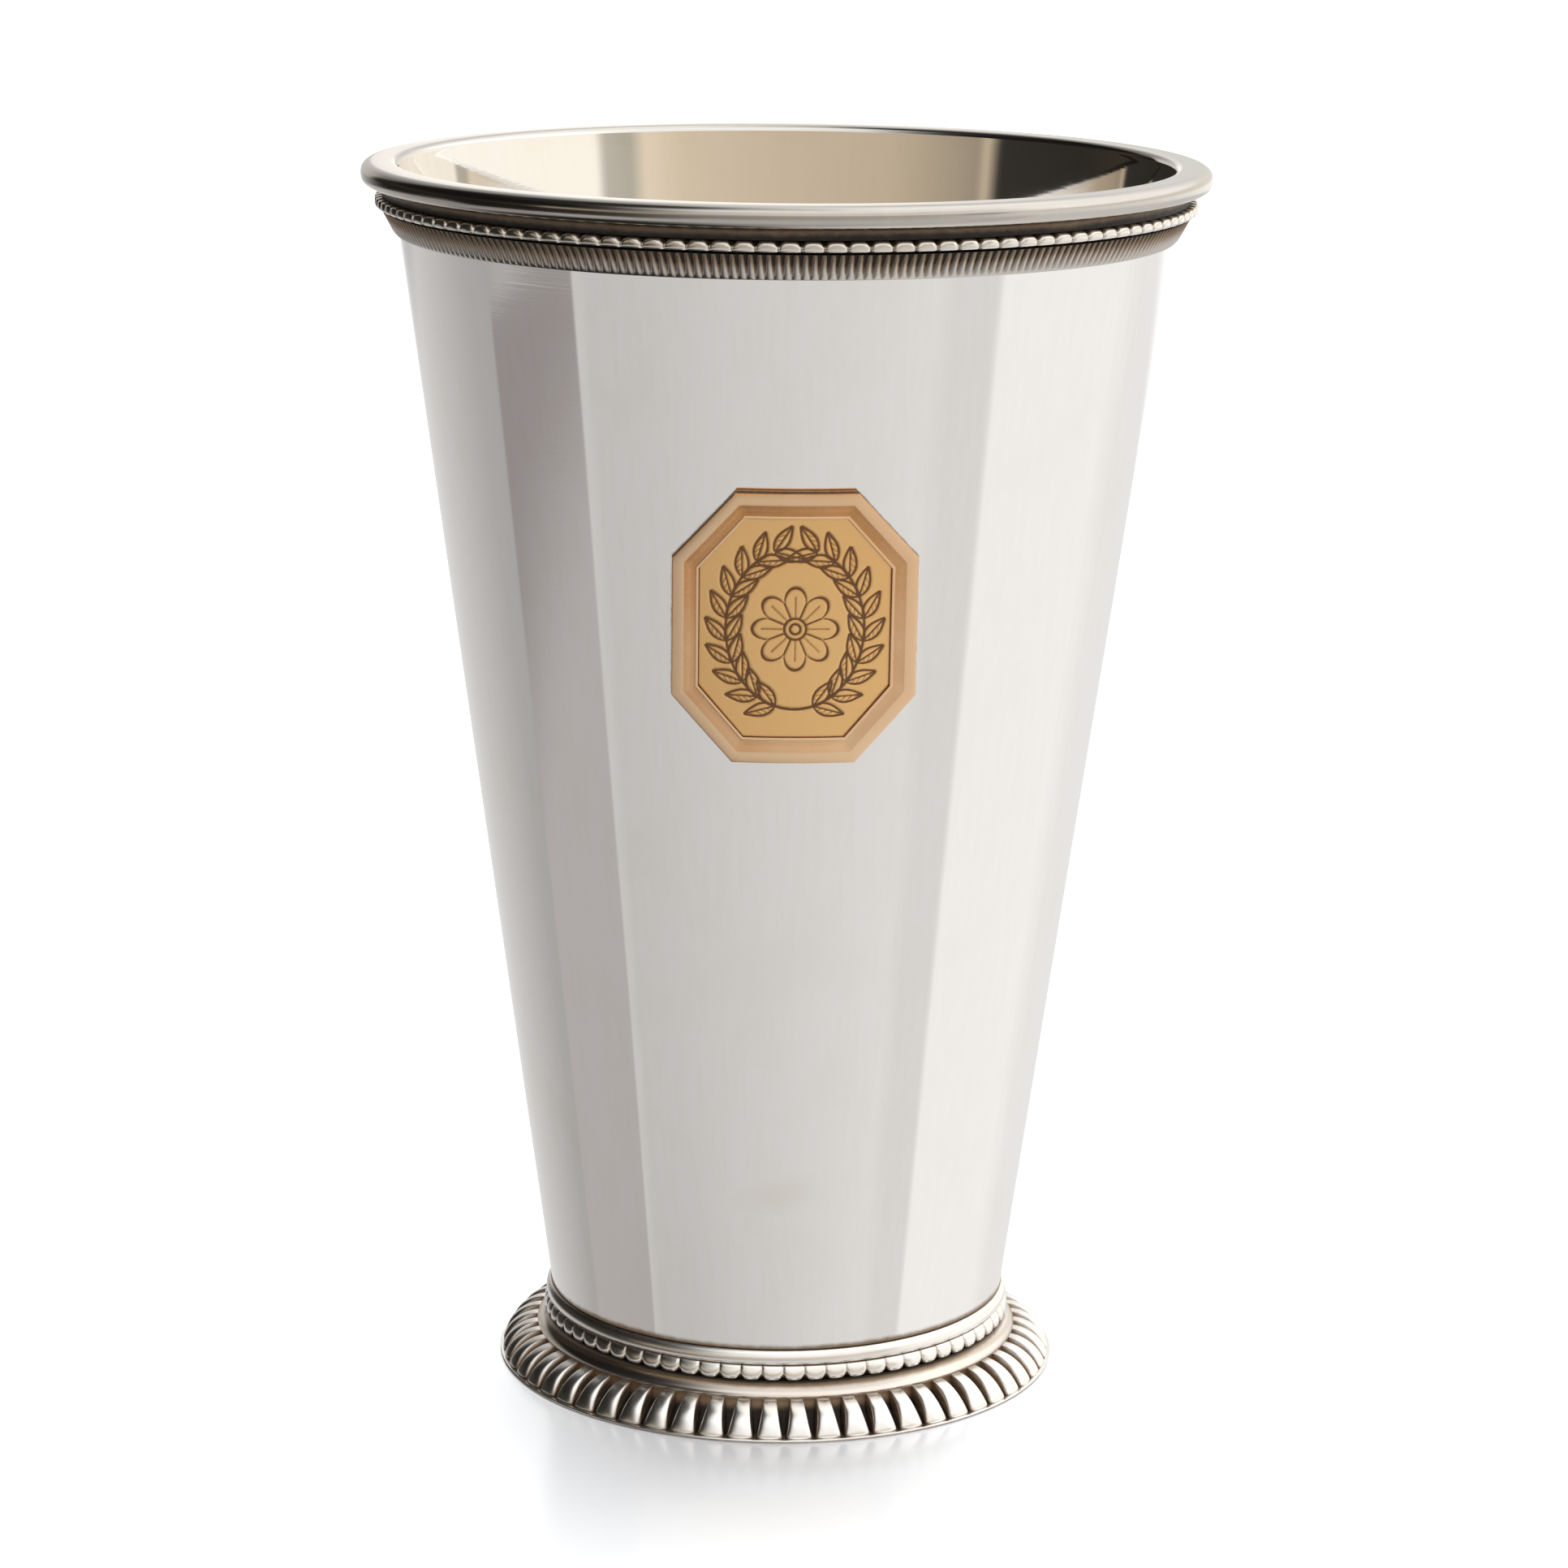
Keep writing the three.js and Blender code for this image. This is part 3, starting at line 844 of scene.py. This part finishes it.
def engraving(x, z):
    # leaves in pairs along an ellipse, round a rosette whose petals are |cos| lobes in polar form
    o = ornament
    wide, tall = o["wreathWidth"], o["wreathHeight"]
    marks = np.zeros_like(x)
    for side in (-1, 1):
        for place in np.linspace(*o["wreathSpan"], o["leaves"]):
            a = math.pi * (place - 0.5)
            start = (side * wide * math.cos(a), tall * math.sin(a))
            along = math.atan2(tall * math.cos(a), -side * wide * math.sin(a))
            for lean in (-o["leafLean"], o["leafLean"]):
                marks = np.maximum(marks, leafMarks(x, z, start, along + lean, lean))
    ellipse = np.hypot(x / wide, z / tall)
    stem = stroke((ellipse - 1) * wide, o["line"]) * (z < tall * o["wreathSpan"][1])
    r, a = np.hypot(x, z), np.arctan2(z, x)
    ridge, valley = np.cos(o["petals"] * a / 2), np.sin(o["petals"] * a / 2)
    petalEdge = o["rosette"] * (o["petalWaist"] + (1 - o["petalWaist"]) * np.abs(ridge) ** o["petalRound"])
    petals = stroke((r - petalEdge) * o["petalLine"], o["line"])
    rings = sum(stroke(r - ring, o["line"]) for ring in o["rings"])
    fromHub = r > o["veinStart"]
    veins = stroke(valley * r * o["veinWidth"], o["hatchLine"]) * fromHub * (r < petalEdge * o["veinEnd"])
    ribs = stroke(ridge * r * o["veinWidth"], o["fineLine"]) * fromHub * (r < petalEdge)
    return np.clip(np.maximum.reduce([marks, stem, petals + rings, o["faint"] * veins, ribs]), 0, 1)


plate = {
    "endRows": 80,
    "sideRows": 150,
    "columns": 250,
    "backLoops": [1.0, 0.75, 0.5, 0.25],  # sizes of the loops behind, against the outline
    # dark: painted shadow on the plate's edge and back
    "dark": 0.7,
    "sharp": 60,
}


def makePlate():
    # a fine grid over the eight-sided front, each row as wide as the outline there, and shrinking loops
    # behind it
    (x, sideZ), (topX, z) = plaqueCorners(0.0)[2:4]
    ends = np.linspace(sideZ, z, plate["endRows"])
    rows = np.concatenate([-ends[::-1], np.linspace(-sideZ, sideZ, plate["sideRows"])[1:-1], ends])
    columns = np.linspace(-1, 1, plate["columns"])[None]
    reach = np.interp(np.abs(rows), [sideZ, z], [x, topX])[:, None]
    gx, gz = np.broadcast_arrays(reach * columns, rows[:, None])
    marks = engraving(gx, gz)
    front = onWall(gx, gz, solderGap + plaque["plateThickness"] - ornament["depth"] * marks)
    index = np.arange(gx.size).reshape(gx.shape)
    quads = np.stack([index[:-1, :-1], index[:-1, 1:], index[1:, 1:], index[1:, :-1]], -1).reshape(-1, 4)
    loop = np.concatenate([index[0, :-1], index[:-1, -1], index[-1, :0:-1], index[:0:-1, 0]])
    shrink = np.array(plate["backLoops"])[:, None]
    back = onWall(shrink * gx.ravel()[loop], shrink * gz.ravel()[loop], solderGap).reshape(-1, 3)
    start, count, loops = gx.size, len(loop), len(shrink)
    after = np.roll(np.arange(count), -1)
    sides = np.stack([loop, start + np.arange(count), start + after, loop[after]], -1)
    rear = gridFaces(loops, count)[:, ::-1] + start
    cap = poleFaces(loops - 1, count, len(back), True) + start
    points = np.concatenate([front.reshape(-1, 3), back, onWall(np.zeros(1), np.zeros(1), solderGap)])
    # the plate's edge and back are painted dark as shadow at the plaque's edge
    recess = np.concatenate([marks.ravel(), np.full(len(back) + 1, plate["dark"])])
    recess[loop] = plate["dark"]
    faces = quads.tolist() + sides.tolist() + rear.tolist() + cap.tolist()
    attributes = {"recess": recess}
    addPiece("plaquePlate", "plaque_plate", fieldGold, points, faces, attributes, plate["sharp"])


moulding = {
    "border": [  # distance in from the outer edge, distance under the top, and darkness, which is painted shade on the rounded outer edge and the bevel
        (0.0, 0.14, 0.5), (0.06, 0.04, 0.3), (0.16, 0.0, 0.05), (0.9, 0.0, 0.0), (1.3, 0.0, 0.0),
        (1.4, 0.03, 0.5), (1.5, 0.06, 0.36), (2.0, 0.2, 0.3)],
    "fillet": [  # the same, with the distance from the inner edge
        (0.42, 0.38, 0.55), (0.36, 0.38, 0.5), (0.28, 0.33, 0.05), (0.12, 0.33, 0.0), (0.04, 0.35, 0.1),
        (0.0, 0.38, 0.6)],
    "footDark": (0.6, 0.7),  # painted shadow at the outer and inner foot
    "steps": 20,
    "sharp": 25,
}


def makeFrame():
    # a moulding carried round the eight sides, mitred at the corners: flat border, bevel, and a fillet
    # at the field
    seat = 2 * solderGap + plaque["plateThickness"]
    top, width = seat + plaque["frameThickness"], plaque["border"]
    outerDark, innerDark = moulding["footDark"]
    section = [(0, seat, outerDark)]
    section += [(inward, top - down, dark) for inward, down, dark in moulding["border"]]
    section += [(width - outward, top - down, dark) for outward, down, dark in moulding["fillet"]]
    section += [(width, seat, innerDark)]
    t = (np.arange(moulding["steps"]) / moulding["steps"])[None, :, None]
    loops, recess = [], []
    for margin, lift, dark in section:
        corners = plaqueCorners(margin)[:, None]
        path = (corners * (1 - t) + np.roll(corners, -1, axis=0) * t).reshape(-1, 2)
        loops.append(onWall(path[:, 0], path[:, 1], lift))
        recess.append(np.full(len(path), dark))
    rows, columns = len(loops), len(loops[0])
    points = np.concatenate(loops)
    faces = (gridFaces(rows + 1, columns) % (rows * columns)).tolist()
    attributes = {"recess": np.concatenate(recess)}
    addPiece("plaqueFrame", "plaque_frame", frameGold, points, faces, attributes, moulding["sharp"])


makePlate()
makeFrame()

# tones round the beaker by compass bearing, in degrees from the camera's side and positive to the right
tones = {
    "near": [
        (-180, 190), (-140, 40), (-75, 44), (-45, 110), (-20, 165), (0, 182), (45, 215), (90, 245),
        (150, 240), (180, 190)],
    "table": [
        (-180, 224), (-150, 200), (-130, 184), (-114, 168), (-104, 164), (-69, 198), (-64, 190), (-48, 193),
        (-20, 202), (0, 207), (44, 219), (52, 213), (65.6, 214), (67.0, 238), (118, 240), (133, 230),
        (165, 226), (180, 224)],
    "edge": [
        (-180, 255), (-150, 120), (-140, 24), (-60, 26), (-45, 60), (-22, 140), (0, 172), (40, 205),
        (60, 250), (140, 275), (180, 255)],
    "room": [
        (-180, (300, 291, 283)), (-177.5, (292, 284, 275)), (-175.5, (212, 210, 207)),
        (-152, (200, 195, 188)), (-148, (18, 15, 12)), (-130, (54, 48, 38)), (-105, (44, 41, 36)),
        (-72, (50, 48, 43)),
        (-70, (120, 110, 95)), (-67, (190, 175, 150)), (-64, (150, 138, 120)), (-58, (160, 147, 128)),
        (-35, (186, 171, 147)), (0, (196, 180, 157)), (30, (206, 191, 167)), (43, (222, 207, 184)),
        (48, (176, 170, 156)), (57, (186, 180, 168)), (60, (250, 243, 230)), (140, (252, 247, 236)),
        (175, (226, 224, 220)), (177.5, (292, 284, 275)), (180, (300, 291, 283))],
    "upper": [
        (-180, 250), (-176, 205), (-150, 130), (-140, 26), (-66, 28), (-55, 60), (-44, 130), (-27, 225),
        (0, 246), (40, 246), (62, 262), (80, 300), (140, 290), (176, 220), (180, 250)],
    "high": [
        (-180, 250), (-140, 60), (-90, 40), (-68, 70), (-52, 190), (-32, 265), (60, 280), (140, 300),
        (180, 250)],
}
toneWarmth = (0.0, 1.5, 3.0)  # taken off the red, green and blue of a plain tone
layers = {  # elevations in degrees over which each layer takes over from the one below
    "table": (-52, -30),
    "edge": (-11, -8),
    "room": (-2, -0.8),
    "upper": (11, 18),
    "high": (40, 54),
    "zenith": (76, 88),
}
shade = {  # a grey shadow on the table, to the left
    "left": -95,
    "leftLean": 0.5,
    "leftBlur": 0.7,
    "right": (-70.2, -69.0),
    "top": -24.8,
    "topSlope": 0.075,
    "topBlur": 0.2,
    "deepen": (-24, -19),
    "lowTone": (174, 170, 169),
    "highTone": (144, 139, 138),
}
beside = {"left": (-104, -96), "right": (-40, -20), "rise": 6}  # bearings where the table's edge is nearer
backdrop = {"bearing": (172, 178), "elevation": (6.1, 6.9), "tone": (0.93, 0.92, 0.90)}
studio = {
    "mirror": 0.92,  # share of light that the silver gives back
    "zenith": (0.72, 0.70, 0.66),
    "floorHalf": 4.0,
    "floorTone": (0.90, 0.92, 0.95),
    "floorIor": 1.75,
    "floorRough": 0.16,
    "floorNoise": (3.0, 3.0, 0.55),  # scale, detail and roughness
    "floorGrain": 0.04,
    "farFrom": (0.02, 0.2),  # squares of the distances out to which the floor is glossy, in metres
    "farRough": 0.7,
    "lightPower": 4.4,
    "lightSpread": 50,
    "lightTilt": -0.35,
    "glossyBounces": 12,  # light is thrown to and fro inside the cup
    "maxBounces": 16,
}


def ramp(tree, bearing, name):  # one layer's tones as a colour ramp round the compass
    stops = []
    for degrees, tone in tones[name]:
        colour = tone if isinstance(tone, tuple) else np.subtract(tone, toneWarmth)
        stops.append((degrees / 360 + 0.5, linear(colour)))
    return tree.node("ShaderNodeValToRGB", {"stops": stops}, {0: bearing})


def makeWorld():
    # surroundings in layers by height: table close in, table, its far edge, room, lights with a white
    # backdrop behind, high lights and zenith
    world = bpy.data.worlds.new("studioWorld")
    bpy.context.scene.world = world
    tree = Tree(world)
    x, y, z = tree.parts(tree.node("ShaderNodeTexCoord", output="Generated"))
    bearing = x.math("ARCTAN2", x, y * -1.0) / (2 * math.pi) + 0.5
    elevation = z.math("ARCSINE", z) * (180 / math.pi)
    degrees = (bearing - 0.5) * 360
    leftEdge = degrees - elevation * shade["leftLean"] - shade["left"]
    topEdge = elevation + degrees * shade["topSlope"] - shade["top"]
    shaded = leftEdge.step(-shade["leftBlur"], shade["leftBlur"]) * (1 - degrees.step(*shade["right"]))
    shaded = shaded * (1 - topEdge.step(-shade["topBlur"], shade["topBlur"]))
    low, high = linear(shade["lowTone"]), linear(shade["highTone"])
    shadow = tree.mix(elevation.step(*shade["deepen"]), low, high)
    table = tree.mix(shaded, ramp(tree, bearing, "table"), shadow)
    around = tree.mix(elevation.step(*layers["table"]), ramp(tree, bearing, "near"), table)
    nearer = degrees.step(*beside["left"]) * (1 - degrees.step(*beside["right"])) * beside["rise"]
    around = tree.mix((elevation + nearer).step(*layers["edge"]), around, ramp(tree, bearing, "edge"))
    around = tree.mix(elevation.step(*layers["room"]), around, ramp(tree, bearing, "room"))
    around = tree.mix(elevation.step(*layers["upper"]), around, ramp(tree, bearing, "upper"))
    behind = abs(degrees).step(*backdrop["bearing"]) * elevation.step(*backdrop["elevation"])
    around = tree.mix(behind, around, backdrop["tone"])
    around = tree.mix(elevation.step(*layers["high"]), around, ramp(tree, bearing, "high"))
    around = tree.mix(elevation.step(*layers["zenith"]), around, studio["zenith"])
    seen = tree.node("ShaderNodeLightPath", output="Is Camera Ray")
    shown = tree.mix(seen, around, (studio["mirror"],) * 3)
    light = tree.node("ShaderNodeBackground", None, {"Color": shown, "Strength": 1 / studio["mirror"]})
    tree.node("ShaderNodeOutputWorld", None, {"Surface": light})


def makeStage():
    # a wide pale sheet under a broad soft light; the silver reflects the surroundings instead of either
    half = studio["floorHalf"]
    corners = [(-half, -half, 0), (half, -half, 0), (half, half, 0), (-half, half, 0)]
    mesh = bpy.data.meshes.new("studioFloor")
    mesh.from_pydata(corners, [], [(0, 1, 2, 3)])
    material = bpy.data.materials.new("paleFloor")
    tree = Tree(material)
    spot = tree.node("ShaderNodeTexCoord", output="Object")
    x, y, _ = tree.parts(spot)
    far = (x * x + y * y).step(*studio["farFrom"])  # glossy only close round the beaker
    grain = tree.noise(spot, *studio["floorNoise"]) * studio["floorGrain"]
    rough = studio["floorRough"] + grain + far * studio["farRough"]
    tree.surface({"Base Color": (*studio["floorTone"], 1), "Roughness": rough, "IOR": studio["floorIor"]})
    mesh.materials.append(material)
    sheet = bpy.data.objects.new("studioFloor", mesh)
    sheet.visible_glossy = False
    bpy.context.scene.collection.objects.link(sheet)
    data = bpy.data.lights.new("softLight", "SUN")
    data.energy = studio["lightPower"]
    data.angle = math.radians(studio["lightSpread"])
    lamp = bpy.data.objects.new("softLight", data)
    lamp.rotation_euler = (studio["lightTilt"], 0, 0)
    lamp.visible_glossy = False
    lamp.visible_camera = False
    bpy.context.scene.collection.objects.link(lamp)


view = {
    "bearing": -2.0,  # angles in degrees, lengths in metres, lens and sensor in millimetres
    "distance": 0.5639,
    "height": 0.2058,
    "pitch": 13.235,
    "yaw": 0.04,
    "roll": 0.578,
    "lens": 107.51,
    "sensor": 36.0,
    "clip": (0.01, 50.0),
}


def makeCamera():
    # the photograph's viewpoint: a step back from the axis, looking down, with a slight roll
    bearing, pitch, yaw, roll = (math.radians(view[key]) for key in ("bearing", "pitch", "yaw", "roll"))
    heading = yaw - bearing
    level = np.array([math.sin(heading), math.cos(heading), 0.0])
    forward = level * math.cos(pitch) - np.array([0.0, 0.0, math.sin(pitch)])
    right = np.cross(forward, (0, 0, 1))
    right = right / np.linalg.norm(right)
    up = np.cross(right, forward)
    away = view["distance"]
    matrix = np.eye(4)
    matrix[:3, 0] = math.cos(roll) * right + math.sin(roll) * up
    matrix[:3, 1] = math.cos(roll) * up - math.sin(roll) * right
    matrix[:3, 2] = -forward
    matrix[:3, 3] = (away * math.sin(bearing), -away * math.cos(bearing), view["height"])
    data = bpy.data.cameras.new("photoCamera")
    data.lens = view["lens"]
    data.sensor_width = view["sensor"]
    data.clip_start, data.clip_end = view["clip"]
    camera = bpy.data.objects.new("photoCamera", data)
    camera.matrix_world = Matrix(matrix.tolist())
    bpy.context.scene.collection.objects.link(camera)
    bpy.context.scene.camera = camera


makeWorld()
makeStage()
makeCamera()
bpy.context.scene.view_settings.view_transform = "Standard"
bpy.context.scene.cycles.glossy_bounces = studio["glossyBounces"]
bpy.context.scene.cycles.max_bounces = studio["maxBounces"]
print("studio ready")
